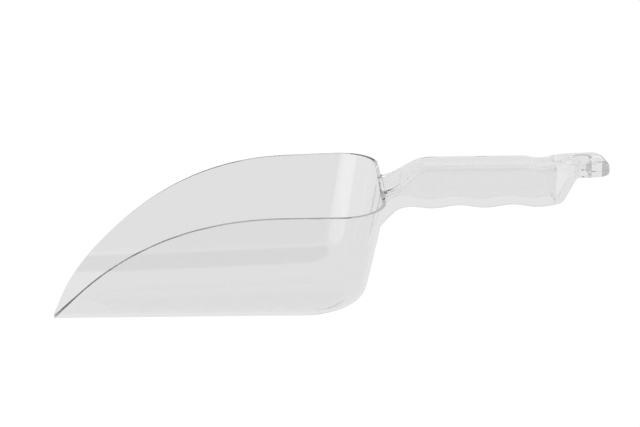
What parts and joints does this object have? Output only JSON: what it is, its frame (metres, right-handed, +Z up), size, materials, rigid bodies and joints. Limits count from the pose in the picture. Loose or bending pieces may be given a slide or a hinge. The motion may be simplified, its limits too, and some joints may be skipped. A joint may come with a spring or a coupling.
{
  "type": "ice scoop",
  "caption": "Clear plastic ice scoop with a flat floor, flared walls, a slanted mouth, and a hollow-backed grip that ends in a hanging tab.",
  "frame": {"origin": "middle of the scoop's length and width, on the surface that its flat floor rests on", "axes": "+X from the front lip to the tail of the handle, +Y to the right of a person who holds it, +Z up"},
  "size_m": [0.3024, 0.1108, 0.0794],
  "materials": {
    "clear_plastic": "polished clear polycarbonate, injection moulded"
  },
  "bodies": {
    "root": {"floor_plate": "clear_plastic", "left_side_wall": "clear_plastic", "right_side_wall": "clear_plastic", "left_rear_corner": "clear_plastic", "back_wall": "clear_plastic", "right_rear_corner": "clear_plastic", "neck": "clear_plastic", "grip_top": "clear_plastic", "left_grip_web": "clear_plastic", "right_grip_web": "clear_plastic", "grip_end_wall": "clear_plastic", "hang_tab": "clear_plastic"}
  },
  "joints": []
}
